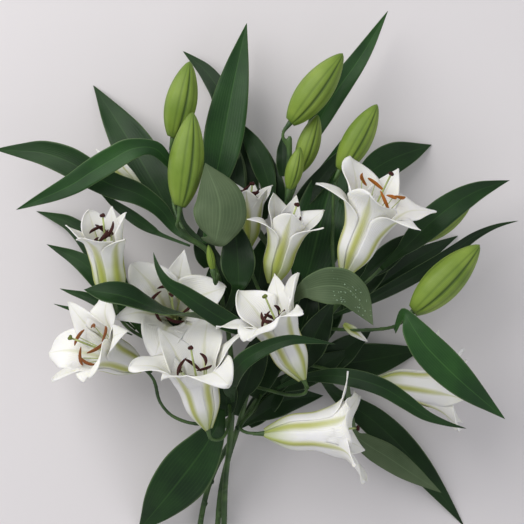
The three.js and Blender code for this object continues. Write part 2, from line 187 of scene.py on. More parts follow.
# 1 below low, 0 above high, smooth between
def fadeOut(tree, value, low, high):
    return calculate(tree, "SUBTRACT", 1.0, ramp(tree, value, low, high))


def mixColour(tree, share, first, second):
    node = addNode(tree, "Mix", {"data_type": "RGBA"}, Factor=share)
    for socket, colour in zip(node.inputs[6:8], (first, second)):
        feed(tree, socket, (*colour, 1.0) if isinstance(colour, tuple) else colour)
    return node.outputs[2]


# Lays a second colour over the first by a share of the mask
def tint(tree, colour, mask, share, second):
    return mixColour(tree, calculate(tree, "MULTIPLY", mask, share), colour, second)


def startMaterial(name, roughness, subsurface=0.0, coat=0.0, specular=0.5):
    material = bpy.data.materials.new(name)
    material.use_nodes = True
    tree = material.node_tree
    shader = tree.nodes["Principled BSDF"]
    shader.inputs["Roughness"].default_value = roughness
    shader.inputs["Specular IOR Level"].default_value = specular
    if subsurface:
        shader.inputs["Subsurface Weight"].default_value = subsurface
        shader.inputs["Subsurface Radius"].default_value = plantLook["scatter"]
        shader.inputs["Subsurface Scale"].default_value = 1.0
    if coat:
        shader.inputs["Coat Weight"].default_value = coat
        shader.inputs["Coat Roughness"].default_value = plantLook["coatRoughness"]
    return material, tree, shader


# Across and along a sheet, and how far out from its midrib, each from 0 to 1
def grainOf(tree):
    uv = addNode(tree, "UVMap", {"uv_map": "grain"})
    parts = addNode(tree, "SeparateXYZ", Vector=uv.outputs[0])
    fromRib = calculate(tree, "ABSOLUTE", calculate(tree, "MULTIPLY_ADD", parts.outputs[0], 2.0, -1.0))
    return parts.outputs[0], parts.outputs[1], fromRib


def mottle(tree, scale, detail=3.0):
    coordinates = addNode(tree, "TexCoord")
    noise = addNode(tree, "TexNoise", Vector=coordinates.outputs["Object"], Scale=scale, Detail=detail)
    return noise.outputs["Fac"]


def addBump(tree, shader, height, strength, distance):
    bump = addNode(tree, "Bump", Height=height, Strength=strength, Distance=distance)
    tree.links.new(bump.outputs[0], shader.inputs["Normal"])


def lengthwiseLines(tree, across, count, sharpness):
    wave = calculate(tree, "SINE", calculate(tree, "MULTIPLY", across, count * math.pi))
    return calculate(tree, "POWER", calculate(tree, "ABSOLUTE", wave), sharpness)


leafLook = {
    "across": 12,
    "along": 48,
    "thickness": 0.0008,
    "ripple": 0.11,  # of the half width, at the margins
    "waves": (1.6, 2.8),  # the fewest and the most along one margin
    "cup": 1.4,  # how late the blade rises towards its margins
    "upperDark": (0.006, 0.023, 0.006),
    "upperLight": (0.016, 0.054, 0.011),
    "upperVein": (0.036, 0.095, 0.022),
    "underDark": (0.050, 0.082, 0.036),
    "underLight": (0.100, 0.140, 0.070),
    "underVein": (0.14, 0.20, 0.10),
    # painted highlight: a pale line along the leaf margins
    "rim": (0.13, 0.20, 0.08),
    "veins": 15,
    "veinSharpness": 14.0,
    "fineVeins": 4,  # to each vein
    "fineSharpness": 4.0,
    "ribWidth": 0.07,
    "ribShare": 0.45,
    "rimStart": 0.93,
    "rimShare": 0.6,
    "footEnd": 0.22,
    "footShare": 0.35,
    "patchScale": 18.0,
    "specular": 0.22,
}
# The same leaf in three tones, from the shaded ones low in the bunch to the youngest; the darkest is
# painted shade, a darkened copy of the leaf for those that lie in shade
toneStrengths = {"PaintedShade": 0.7, "Middle": 1.0, "Fresh": 1.6}
leafTones = {
    "leaf_top_right": "Fresh",
    "leaf_top_tall": "Fresh",
    "leaf_right_front": "Fresh",
    "leaf_middle_broad": "Fresh",
    "leaf_left_arching": "Fresh",
    # painted shade: these leaves lie in shade, so they get the darkened copy
    "leaf_centre_dark": "PaintedShade",
    "leaf_right_reaching": "PaintedShade",
    "leaf_right_inner": "PaintedShade",
    "leaf_right_shaded": "PaintedShade",
    "leaf_right_horizontal": "PaintedShade",
    "leaf_behind_trumpet": "PaintedShade",
    "leaf_beside_stem": "PaintedShade",
    "leaf_low_middle": "PaintedShade",
    "leaf_low_right_long": "PaintedShade",
}


def leafMaterial(name, dark, light, vein, roughness, veinStrength):
    material, tree, shader = startMaterial(name, roughness, specular=leafLook["specular"])
    across, along, fromRib = grainOf(tree)
    patches = ramp(tree, mottle(tree, leafLook["patchScale"]), 0.25, 0.8)
    colour = mixColour(tree, patches, dark, light)
    lines = lengthwiseLines(tree, across, leafLook["veins"], leafLook["veinSharpness"])
    fineCount = leafLook["veins"] * leafLook["fineVeins"]
    fine = lengthwiseLines(tree, across, fineCount, leafLook["fineSharpness"])
    colour = tint(tree, colour, lines, veinStrength, vein)
    rib = fadeOut(tree, fromRib, 0.0, leafLook["ribWidth"])
    colour = tint(tree, colour, rib, leafLook["ribShare"], vein)
    # Painted highlight: a pale line laid along each margin of the blade
    rim = ramp(tree, fromRib, leafLook["rimStart"], 1.0)
    colour = tint(tree, colour, rim, leafLook["rimShare"], leafLook["rim"])
    foot = fadeOut(tree, along, 0.0, leafLook["footEnd"])
    colour = tint(tree, colour, foot, leafLook["footShare"], vein)
    tree.links.new(colour, shader.inputs["Base Color"])
    height = calculate(tree, "MULTIPLY_ADD", lines, 1.0, calculate(tree, "MULTIPLY", fine, 0.3))
    height = calculate(tree, "SUBTRACT", height, calculate(tree, "MULTIPLY", rib, 1.6))
    addBump(tree, shader, height, strength=0.3, distance=0.0005)
    return material


leafUppers = {}
for tone, strength in toneStrengths.items():
    shades = [tuple(part * strength for part in leafLook[key])
              for key in ("upperDark", "upperLight", "upperVein")]
    leafUppers[tone] = leafMaterial("leafUpper" + tone, *shades, roughness=0.36, veinStrength=0.16)
leafUnder = leafMaterial("leafUnder", leafLook["underDark"], leafLook["underLight"],
                         leafLook["underVein"], roughness=0.6, veinStrength=0.28)


# A flat grid with its own UV map, from which leaves and petals are bent
def startSheet(across, along):
    bm = bmesh.new()
    bmesh.ops.create_grid(bm, x_segments=across, y_segments=along, size=1.0)
    grain = bm.loops.layers.uv.new("grain")
    for face in bm.faces:
        for loop in face.loops:
            loop[grain].uv = (loop.vert.co.x / 2 + 0.5, loop.vert.co.y / 2 + 0.5)
    return bm


# Turns a bent sheet so that its faces look the way that facing(middle of face) says
def faceSheet(bm, facing):
    bmesh.ops.remove_doubles(bm, verts=bm.verts, dist=sheetWeld)
    bm.normal_update()
    votes = [face.normal.dot(facing(face.calc_center_median())) > 0 for face in bm.faces]
    if sum(votes) * 2 < len(votes):
        bmesh.ops.reverse_faces(bm, faces=bm.faces)


# Turns a bmesh into a piece of the bunch, which stands for the CAD nodes in replaced
def finishPiece(name, bm, materials, replaced=()):
    mesh = bpy.data.meshes.new(name)
    for face in bm.faces:
        face.smooth = True
    bm.to_mesh(mesh)
    bm.free()
    for material in materials:
        mesh.materials.append(material)
    piece = bpy.data.objects.new(name, mesh)
    bpy.context.scene.collection.objects.link(piece)
    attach(piece, "root")
    if replaced:
        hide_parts(*replaced)
    return piece


# The second material goes on the back of the sheet, the first on its front and rim
def thicken(piece, thickness):
    wall = piece.modifiers.new("wall", "SOLIDIFY")
    wall.thickness = thickness
    wall.offset = -1.0
    wall.use_even_offset = False
    wall.material_offset = 1
    wall.material_offset_rim = 0


# Bends a sheet into a blade along its midrib, and gives it its two skins
def bendBlade(name, lines, materials, replaced):
    centres, reaches, rises = lines
    dice = random.Random(name)
    phases = [dice.uniform(0, 2 * math.pi) for side in range(2)]
    waves = dice.uniform(*leafLook["waves"])
    bm = startSheet(leafLook["across"], leafLook["along"])
    for vert in bm.verts:
        u, share = vert.co.x, vert.co.y / 2 + 0.5
        centre, reach, rise = (smoothAt(values, share) for values in (centres, reaches, rises))
        up = rise.normalized() if rise.length > weldDistance else Vector((0, 0, 0))
        wave = math.sin(waves * 2 * math.pi * share + phases[0 if u < 0 else 1])
        ripple = leafLook["ripple"] * reach.length * abs(u) ** 3 * wave
        vert.co = centre + reach * u + rise * abs(u) ** leafLook["cup"] + up * ripple
    pairs = list(zip(centres, rises))[1:-1]
    faceSheet(bm, lambda point: min(pairs, key=lambda pair: (pair[0] - point).length)[1])
    thicken(finishPiece(name, bm, materials, replaced), leafLook["thickness"])


for name in sorted(cadNodes):
    if name.startswith("leaf_"):
        skins = [leafUppers[leafTones.get(name, "Middle")], leafUnder]
        if name == "leaf_right_curled":  # this one shows its underside
            skins.reverse()
        bendBlade(name.replace("leaf", "blade"), leafLines(name), skins, [name])

# Low leaves in the thick of the bunch: foot, tip and how far the middle stands above the line
# between them, all in metres, then the width
lowLeaves = {
    "low_left_of_middle": ((-0.020, -0.002, 0.060), (-0.046, 0.088, 0.070), 0.012, 0.026),
    "low_behind_right": ((0.062, -0.022, 0.040), (0.100, 0.056, 0.034), 0.016, 0.036),
    "low_right_of_middle": ((0.030, -0.068, 0.042), (0.106, -0.028, 0.030), 0.012, 0.030),
    "low_middle": ((-0.004, -0.080, 0.040), (0.036, 0.004, 0.030), 0.014, 0.032),
    "low_top": ((0.030, 0.120, 0.050), (0.002, 0.214, 0.034), 0.012, 0.026),
    "low_left": ((-0.028, -0.100, 0.044), (-0.070, -0.004, 0.020), 0.012, 0.030),
    "low_far_right": ((0.092, 0.018, 0.046), (0.166, 0.098, 0.018), 0.014, 0.030),
    "low_top_left": ((-0.034, 0.106, 0.060), (-0.018, 0.196, 0.050), 0.012, 0.030),
    "low_centre": ((-0.002, 0.016, 0.050), (0.012, 0.106, 0.036), 0.010, 0.036),
    "low_under_right": ((0.058, -0.058, 0.030), (0.132, -0.004, 0.014), 0.012, 0.032),
    "low_beside_left": ((-0.036, -0.050, 0.050), (-0.108, 0.030, 0.014), 0.016, 0.028),
    "low_front": ((-0.010, -0.112, 0.024), (0.040, -0.052, 0.016), 0.010, 0.030),
    "low_beside_bud": ((0.038, 0.124, 0.058), (0.106, 0.206, 0.050), 0.008, 0.020),
    "low_under_bud": ((0.030, 0.168, 0.060), (0.030, 0.215, 0.050), 0.006, 0.014),
    "low_middle_top": ((0.007, 0.118, 0.056), (-0.013, 0.166, 0.046), 0.008, 0.030),
    "low_inner_right": ((0.036, 0.015, 0.066), (0.049, 0.068, 0.060), 0.008, 0.019),
    "low_inner_left": ((-0.045, 0.025, 0.070), (-0.051, 0.068, 0.066), 0.006, 0.019),
    "low_beside_front": ((-0.034, -0.100, 0.060), (-0.030, -0.042, 0.066), 0.008, 0.024),
    "low_under_left": ((-0.127, -0.010, 0.040), (-0.088, 0.007, 0.040), 0.006, 0.022),
    "low_beside_curled": ((0.049, -0.012, 0.050), (0.063, 0.050, 0.045), 0.008, 0.032),
    "low_left_gap": ((-0.053, 0.066, 0.062), (-0.063, 0.112, 0.056), 0.006, 0.024),
    "low_top_gap": ((-0.006, 0.130, 0.046), (-0.014, 0.218, 0.036), 0.008, 0.024),
}


archLook = {
    "steps": 9,
    "outline": (0.08, 0.8, 0.9),
    "rise": 0.22,  # of the margins, as a share of the half width
}


# The lines of a simple arched blade from its foot to its tip
def archLines(foot, tip, bulge, width):
    foot, tip = Vector(foot), Vector(tip)
    steps = archLook["steps"]
    along = tip - foot
    side = along.cross(Vector((0, 0, 1))).normalized()
    upward = side.cross(along).normalized()
    shares = [step / steps for step in range(steps + 1)]
    centres = [foot + along * t + upward * (bulge * math.sin(math.pi * t)) for t in shares]
    halves = [width / 2 * outlineAt(t, *archLook["outline"]) for t in shares]
    rises = [upward * (half * archLook["rise"]) for half in halves]
    return centres, [side * half for half in halves], rises


# These wear the darkened leaf copy: dark blades filling the gaps in the middle of the bunch, standing
# partly for leaves and partly for painted shade between them
for name, shape in lowLeaves.items():
    bendBlade(name, archLines(*shape), [leafUppers["PaintedShade"], leafUnder], [])

dropLook = {
    "count": 46,
    "radius": (0.0004, 0.0010),
    "flatness": 0.6,
    "standOff": 0.3,  # how far its middle stands off the leaf, as a share of its radius
    "along": (0.42, 0.92),  # the stretch of the leaf that is wet
    "across": 0.85,
    "colour": (0.10, 0.16, 0.085),
}


# Drops of water on the outer half of the curled leaf
def wetLeaf(name, leaf):
    centres, reaches, rises = leafLines(leaf)
    dice = random.Random(name)
    bm = bmesh.new()
    for _ in range(dropLook["count"]):
        share = dice.uniform(*dropLook["along"])
        u = dice.uniform(-dropLook["across"], dropLook["across"])
        centre, reach, rise = (smoothAt(values, share) for values in (centres, reaches, rises))
        heading = smoothAt(centres, share + shareStep) - centre
        face = reach.cross(heading).normalized()
        if face.z < 0:
            face.negate()
        radius = dice.uniform(*dropLook["radius"])
        squash = Matrix.Scale(dropLook["flatness"], 4, face)
        lift = face * (radius * dropLook["standOff"])
        seat = centre + reach * u + rise * abs(u) ** leafLook["cup"] + lift
        bmesh.ops.create_uvsphere(bm, u_segments=10, v_segments=6, radius=radius,
                                  matrix=Matrix.Translation(seat) @ squash)
    material, tree, shader = startMaterial("waterDrop", 0.04, coat=1.0, specular=0.9)
    # Painted glints: tiny pale spots mottled over the drops' colour
    paintedGlints = ramp(tree, mottle(tree, 700.0), 0.3, 0.7)
    glintColour = tuple(part * 2 for part in dropLook["colour"])
    tree.links.new(mixColour(tree, paintedGlints, dropLook["colour"], glintColour), shader.inputs["Base Color"])
    finishPiece(name, bm, [material])


wetLeaf("drops_right_curled", "leaf_right_curled")
print("leaves grown")


budLook = {
    "rings": 8,  # how many are read from the CAD piece
    "around": 96,
    "rows": 40,
    "groove": 0.10,  # this and the next two are shares of the half width
    "ridge": 0.05,
    "margin": 0.018,
    "grooveWidth": 0.09,  # this and the next three are shares of the way from ridge to groove
    "ridgeWidth": 0.22,
    "marginPlace": 0.52,
    "marginWidth": 0.07,
    "marginDark": 0.45,
    "seamFromTop": math.radians(24),
    "outline": (0.04, 0.92, 0.68),
    "light": (0.14, 0.23, 0.022),
    "bright": (0.27, 0.37, 0.060),
    "seam": (0.025, 0.065, 0.006),
    "tip": (0.08, 0.15, 0.02),
    "patchScale": 24.0,
    "veins": 42,
    "veinShare": 0.22,
    "seamShare": 0.9,
    "endShare": 0.55,
}


def budMaterial():
    material, tree, shader = startMaterial("budSkin", 0.42, subsurface=0.05, specular=0.3)
    seam = addNode(tree, "Attribute", {"attribute_name": "seam"}).outputs["Fac"]
    height = addNode(tree, "Attribute", {"attribute_name": "height"}).outputs["Fac"]
    turn = addNode(tree, "Attribute", {"attribute_name": "turn"}).outputs["Fac"]
    patches = ramp(tree, mottle(tree, budLook["patchScale"]), 0.15, 0.85)
    colour = mixColour(tree, patches, budLook["light"], budLook["bright"])
    lines = lengthwiseLines(tree, turn, budLook["veins"], 3.0)
    colour = tint(tree, colour, lines, budLook["veinShare"], budLook["seam"])
    colour = tint(tree, colour, seam, budLook["seamShare"], budLook["seam"])
    ends = calculate(tree, "ADD", ramp(tree, height, 0.84, 1.0), fadeOut(tree, height, 0.0, 0.14))
    colour = tint(tree, colour, ends, budLook["endShare"], budLook["tip"])
    tree.links.new(colour, shader.inputs["Base Color"])
    addBump(tree, shader, calculate(tree, "SUBTRACT", 0.0, lines), strength=0.25, distance=0.0004)
    return material


budSkin = budMaterial()
feet = []  # where each bud and flower stands on its stalk, and its axis


# Three ridges and three grooves, with a fainter line on each side of a groove for the margins
def growBud(name):
    foot, rings, tip = skinRings(name, budLook["rings"])
    axis = (tip - foot).normalized()
    feet.append((foot, axis))
    length = (tip - foot).length
    widest = max((point - mean(ring)).length for ring in rings for point in ring)
    upward = (Vector((0, 0, 1)) - axis * axis.z).normalized()
    outward = Matrix.Rotation(math.pi / 3 + budLook["seamFromTop"], 3, axis) @ upward
    sideways = axis.cross(outward)

    bm = bmesh.new()
    bmesh.ops.create_uvsphere(bm, u_segments=budLook["around"], v_segments=budLook["rows"], radius=1.0)
    seam = bm.verts.layers.float.new("seam")
    height = bm.verts.layers.float.new("height")
    turned = bm.verts.layers.float.new("turn")
    for vert in bm.verts:
        share = math.acos(min(max(-vert.co.z, -1.0), 1.0)) / math.pi
        angle = math.atan2(vert.co.y, vert.co.x)
        fromRidge = abs((angle * 3 / (2 * math.pi) + 0.5) % 1.0 - 0.5) * 2  # 0 on a ridge, 1 in a groove
        groove = hump(fromRidge, 1, budLook["grooveWidth"])
        ridge = hump(fromRidge, 0, budLook["ridgeWidth"])
        margin = hump(fromRidge, budLook["marginPlace"], budLook["marginWidth"])
        reach = widest * outlineAt(share, *budLook["outline"])
        reach *= 1 - budLook["groove"] * groove + budLook["ridge"] * ridge - budLook["margin"] * margin
        vert[seam] = max(groove, budLook["marginDark"] * margin) * ease(0.0, 0.1, share)
        vert[height] = share
        vert[turned] = abs(angle) / math.pi
        spot = foot + axis * (length * share)
        vert.co = spot + (outward * math.cos(angle) + sideways * math.sin(angle)) * reach
    bmesh.ops.recalc_face_normals(bm, faces=bm.faces)
    finishPiece(name.replace("bud", "closed"), bm, [budSkin], [name])


for name in sorted(cadNodes):
    if name.startswith("bud_"):
        growBud(name)
print("buds grown")


petalLook = {
    "count": 6,  # to a flower
    "rings": 5,  # how many are read from the CAD piece, from its foot to its crown
    "across": 16,
    "along": 40,
    "thickness": 0.0009,
    "inner": 0.56,  # width as a share of the petal's length
    "outer": 0.36,
    "start": 0.10,  # of its outline
    "power": 1.22,
    "pinchInner": (0.60, 0.22),  # how pointed it is, and how much more so at its tip
    "pinchOuter": (0.88, 0.3),
    "wrapInner": math.radians(52),  # the most that half a petal turns round the trumpet
    "wrapOuter": math.radians(44),
    "layerInner": -0.0004,  # how far out of the trumpet's skin the petal lies
    "layerOuter": 0.0012,
    "belly": 0.45,  # where the trumpet is fullest, as a share of its length
    "bends": (-11.0, 300.0),  # 1/m, the most that it bends back and inwards
    "flat": 0.5,  # a bend below this is taken as flat
    "nearest": 0.003,  # to the axis, where it still bends round it
    "keel": 0.0011,
    "keelWidth": 0.13,
    "ruffle": 0.0042,
    "ruffleOuter": 0.5,  # as a share of the inner petals' ruffle
    "ruffleYoung": 0.4,
    "rufflePower": 2.5,
    "waves": (1.8, 3.0),
    "white": (0.89, 0.88, 0.85),
    "cream": (0.80, 0.80, 0.70),
    "rib": (0.42, 0.44, 0.075),
    "throat": (0.34, 0.42, 0.09),
    "patchScale": 30.0,
    "patchShare": 0.5,
    "veins": 22,
    "veinShare": 0.10,
    "ribTip": 0.05,  # width of its green stripe at the tip
    "ribTipShare": 0.4,
}


# A white skin with a green stripe along the midrib, which is narrow and faint at the tip
def petalMaterial(name, stripe, breadth, throat, throatEnd):
    material, tree, shader = startMaterial(name, 0.48, subsurface=0.18, specular=0.35)
    across, along, fromRib = grainOf(tree)
    patches = ramp(tree, mottle(tree, petalLook["patchScale"]), 0.3, 0.75)
    colour = tint(tree, petalLook["white"], patches, petalLook["patchShare"], petalLook["cream"])
    lines = lengthwiseLines(tree, across, petalLook["veins"], 2.0)
    colour = tint(tree, colour, lines, petalLook["veinShare"], petalLook["cream"])
    fade = fadeOut(tree, along, 0.35, 1.0)
    spread = calculate(tree, "MULTIPLY_ADD", fade, breadth, petalLook["ribTip"])
    rib = fadeOut(tree, calculate(tree, "DIVIDE", fromRib, spread), 0.1, 1.3)
    faint = petalLook["ribTipShare"]
    strength = calculate(tree, "MULTIPLY_ADD", fade, (1 - faint) * stripe, faint * stripe)
    rib = calculate(tree, "MULTIPLY", rib, strength)
    colour = mixColour(tree, rib, colour, petalLook["rib"])
    low = fadeOut(tree, along, 0.0, throatEnd)
    colour = tint(tree, colour, low, throat, petalLook["throat"])
    tree.links.new(colour, shader.inputs["Base Color"])
    addBump(tree, shader, lines, strength=0.35, distance=0.0005)
    return material


petalOutside = petalMaterial("petalOutside", stripe=0.9, breadth=0.26, throat=0.75, throatEnd=0.36)
petalYoung = petalMaterial("petalYoung", stripe=1.0, breadth=0.46, throat=0.95, throatEnd=0.75)
petalInside = petalMaterial("petalInside", stripe=0.45, breadth=0.12, throat=0.8, throatEnd=0.3)


# Broad in the middle and drawn to a short point, more so in the outer petals
def petalOutline(share, isInner):
    pinch, more = petalLook["pinchInner" if isInner else "pinchOuter"]
    pinch += more * ease(0.5, 1.0, share)
    return outlineAt(share, petalLook["start"], petalLook["power"], pinch)


# Reads a flower's foot, axis and midribs from its CAD skin, and which petals are inner ones
def readFlower(name):
    foot, rings, _ = skinRings(name, petalLook["rings"])
    columns = len(rings[0])
    step = columns // petalLook["count"]
    crown = rings[-1]
    join = min(range(step), key=lambda k: sum((crown[j] - foot).length for j in range(k, columns, step)))
    axis = (mean(rings[1]) - foot).normalized()
    ribs = []
    for k in range(petalLook["count"]):
        first = join + k * step
        middle = (first + step // 2) % columns
        breadth = (rings[1][(first + step) % columns] - rings[1][first % columns]).length
        ribs.append(([ring[middle] for ring in rings], breadth))
    typical = sum(breadth for _, breadth in ribs) / len(ribs)
    return foot, axis, [(rib, breadth > typical) for rib, breadth in ribs]


# Bends one sheet round its midrib and into a keel there, with ruffled margins, and adds it to bm
def bendPetal(bm, foot, axis, rib, isInner, dice, ruffled):
    length = lineLength(rib)
    belly = smoothAt(rib, petalLook["belly"]) - foot
    outward = (belly - axis * belly.dot(axis)).normalized()
    sideways = axis.cross(outward)
    full = petalLook["inner" if isInner else "outer"] * length / 2
    wrap = petalLook["wrapInner" if isInner else "wrapOuter"]
    layer = petalLook["layerInner" if isInner else "layerOuter"]
    phases = [dice.uniform(0, 2 * math.pi) for side in range(2)]
    waves = dice.uniform(*petalLook["waves"])
    ruffle = petalLook["ruffle"] * (1.0 if isInner else petalLook["ruffleOuter"]) * ruffled

    sheet = startSheet(petalLook["across"], petalLook["along"])
    for vert in sheet.verts:
        u, share = vert.co.x, vert.co.y / 2 + 0.5
        spot = smoothAt(rib, share)
        before = smoothAt(rib, max(share - shareStep, 0.0))
        heading = (smoothAt(rib, min(share + shareStep, 1.0)) - before).normalized()
        back = sideways.cross(heading).normalized()
        lean = spot - foot
        away = max((lean - axis * lean.dot(axis)).length, petalLook["nearest"])
        curledBack, closed = petalLook["bends"]
        bend = min(max(heading.dot(axis) / away, curledBack), closed)
        halfWidth = full * petalOutline(share, isInner)
        if bend * halfWidth > wrap:
            halfWidth = wrap / bend
        turn = bend * halfWidth * u
        if abs(bend) > petalLook["flat"]:
            offset = sideways * (math.sin(turn) / bend) - back * ((1 - math.cos(turn)) / bend)
        else:
            offset = sideways * (halfWidth * u)
        keel = petalLook["keel"] * hump(u, 0, petalLook["keelWidth"]) * ease(1.0, 0.5, share)
        wave = math.sin(waves * 2 * math.pi * share + phases[0 if u < 0 else 1])
        margin = ruffle * wave * abs(u) ** petalLook["rufflePower"] * ease(0.35, 0.7, share)
        vert.co = spot + offset + back * (keel + margin + layer * (1 - ease(0.5, 0.9, share)))
    inside = foot + axis * (length * petalLook["belly"])
    faceSheet(sheet, lambda point: point - inside)
    held = bpy.data.meshes.new("petal")
    sheet.to_mesh(held)
    sheet.free()
    bm.from_mesh(held)
    bpy.data.meshes.remove(held)


# The inner petals lie inside the outer ones, so the outer three are made first
def growFlower(name, outside, ruffled):
    foot, axis, ribs = readFlower(name)
    feet.append((foot, axis))
    dice = random.Random(name)
    bm = bmesh.new()
    bm.loops.layers.uv.new("grain")
    for rib, isInner in sorted(ribs, key=lambda pair: pair[1]):
        bendPetal(bm, foot, axis, rib, isInner, dice, ruffled)
    piece = finishPiece(name.replace("flower", "petals"), bm, [outside, petalInside], [name])
    thicken(piece, petalLook["thickness"])
    return foot, axis, [rib for rib, _ in ribs]


# Petals of flowers that hide behind the leaves, each given as the low leaves are
loosePetals = {
    "petal_behind_left": ((-0.124, 0.139, 0.066), (-0.179, 0.199, 0.070), 0.006, 0.016),
    "petal_behind_left_lower": ((-0.122, 0.138, 0.060), (-0.160, 0.196, 0.060), 0.004, 0.014),
    "petal_behind_right": ((0.192, -0.040, 0.080), (0.203, -0.003, 0.096), 0.004, 0.013),
    "petal_under_curled": ((0.098, 0.003, 0.076), (0.125, -0.017, 0.078), 0.004, 0.010),
}
for name, shape in loosePetals.items():
    bendBlade(name, archLines(*shape), [petalYoung, petalInside], [])

youngFlowers = ["flower_left_half_open", "flower_centre_half_open", "flower_centre_opening"]
flowers = {}  # foot, axis and midribs of each
for name in sorted(cadNodes):
    if name.startswith("flower_"):
        if name in youngFlowers:
            flowers[name] = growFlower(name, petalYoung, petalLook["ruffleYoung"])
        else:
            flowers[name] = growFlower(name, petalOutside, 1.0)
print("flowers grown")


# Adds a round stalk to bm, through a line of points
def sweep(bm, points, radii, sides):
    rings = []
    side = (points[1] - points[0]).orthogonal()
    for i, (point, radius) in enumerate(zip(points, radii)):
        heading = (points[min(i + 1, len(points) - 1)] - points[max(i - 1, 0)]).normalized()
        side = (side - heading * side.dot(heading)).normalized()
        place = Matrix((side, heading.cross(side), heading)).transposed().to_4x4()
        place.translation = point
        isEnd = i in (0, len(points) - 1)
        ring = bmesh.ops.create_circle(bm, cap_ends=isEnd, segments=sides, radius=radius, matrix=place)
        corners = set(ring["verts"])
        rings.append([edge for vert in corners for edge in vert.link_edges
                      if edge.other_vert(vert) in corners])
    for low, high in zip(rings, rings[1:]):
        bmesh.ops.bridge_loops(bm, edges=list(set(low) | set(high)))


# Gives every face made since the last call this material
def paintNew(bm, index):
    for face in bm.faces:
        if not face.tag:
            face.material_index = index
            face.tag = True


stamenLook = {
    "steps": 6,  # along each filament and the style
    "floor": 0.05,  # where they stand, as a share of the petals' length
    "floorRise": 0.003,
    "filament": 0.0009,
    "filamentTaper": (1.2, 0.7),  # its radius at the foot, and how much less at the tip, as shares
    "shorter": 0.05,  # by this share for the second of each three, and twice it for the third
    "footRadius": 0.002,
    "spread": 0.019,
    "flare": 1.8,
    "anther": (0.0115, 0.0021, 0.0017),  # half its length, width and depth
    "swing": 0.9,
    "lean": 0.35,
    "antherBow": 0.0035,
    "antherGroove": 0.3,
    "style": 0.0013,
    "styleTaper": (1.1, 0.3),
    "styleReach": (1.2, 0.9),  # to this share of the filaments, but no further than that of the petals
    "styleBow": 0.004,
    "stigma": 0.00198,  # radius of each of its three lobes
    "lobeOffset": 0.75,  # as a share of that radius
    "filamentColour": (0.52, 0.60, 0.24),
    "rust": (0.26, 0.085, 0.022),
    "orange": (0.46, 0.15, 0.02),
    "maroon": (0.055, 0.012, 0.010),
    "olive": (0.16, 0.20, 0.04),
}
# The length of the stamens as a share of the petals', how far they spread, and the colours of
# the anthers and of the stigma
stamenKinds = {
    "flower_left_upper": (0.70, 1.0, "maroon", "maroon"),
    "flower_left_lower": (0.68, 1.1, "rust", "olive"),
    "flower_front_left": (0.62, 0.8, "maroon", "maroon"),
    "flower_right_upper": (0.80, 1.2, "orange", "maroon"),
    "flower_left_half_open": (0.78, 0.45, "maroon", "maroon"),
    "flower_front_middle": (0.66, 0.5, "maroon", "olive"),
    "flower_centre_half_open": (0.74, 0.4, "maroon", "maroon"),
    "flower_right_lower": (0.62, 0.2, "rust", "maroon"),
    "flower_centre_opening": (0.80, 0.3, "maroon", "maroon"),
}


def plainMaterial(name, colour, roughness, grit):
    material, tree, shader = startMaterial(name, roughness, specular=0.3)
    patches = ramp(tree, mottle(tree, grit), 0.3, 0.7)
    dark = tuple(part * 0.6 for part in colour)
    tree.links.new(mixColour(tree, patches, dark, colour), shader.inputs["Base Color"])
    addBump(tree, shader, mottle(tree, grit * 4), 0.4, 0.0003)
    return material


filamentSkin = plainMaterial("filamentSkin", stamenLook["filamentColour"], 0.45, 90.0)
pollens = {kind: plainMaterial(kind + "Pollen", stamenLook[kind], 0.85, 900.0)
           for kind in ("rust", "orange", "maroon", "olive")}


def addBall(bm, centre, radius):
    bmesh.ops.create_uvsphere(bm, u_segments=12, v_segments=8, radius=radius,
                              matrix=Matrix.Translation(centre))


# Adds one anther to bm, which swings on the end of its filament
def addAnther(bm, end, axis, outward, swing):
    around = axis.cross(outward)
    lie = (around * math.cos(swing) + axis * math.sin(swing) + outward * stamenLook["lean"]).normalized()
    flat = lie.orthogonal().normalized()
    half, width, depth = stamenLook["anther"]
    made = bmesh.ops.create_uvsphere(bm, u_segments=12, v_segments=14, radius=1.0)
    for vert in made["verts"]:
        x, y, z = vert.co
        groove = 1 - stamenLook["antherGroove"] * hump(x, 0, 0.35)
        vert.co = (end + lie * (half * z) + flat * (width * x)
                   + lie.cross(flat) * (depth * y * groove) + outward * (-stamenLook["antherBow"] * z * z))


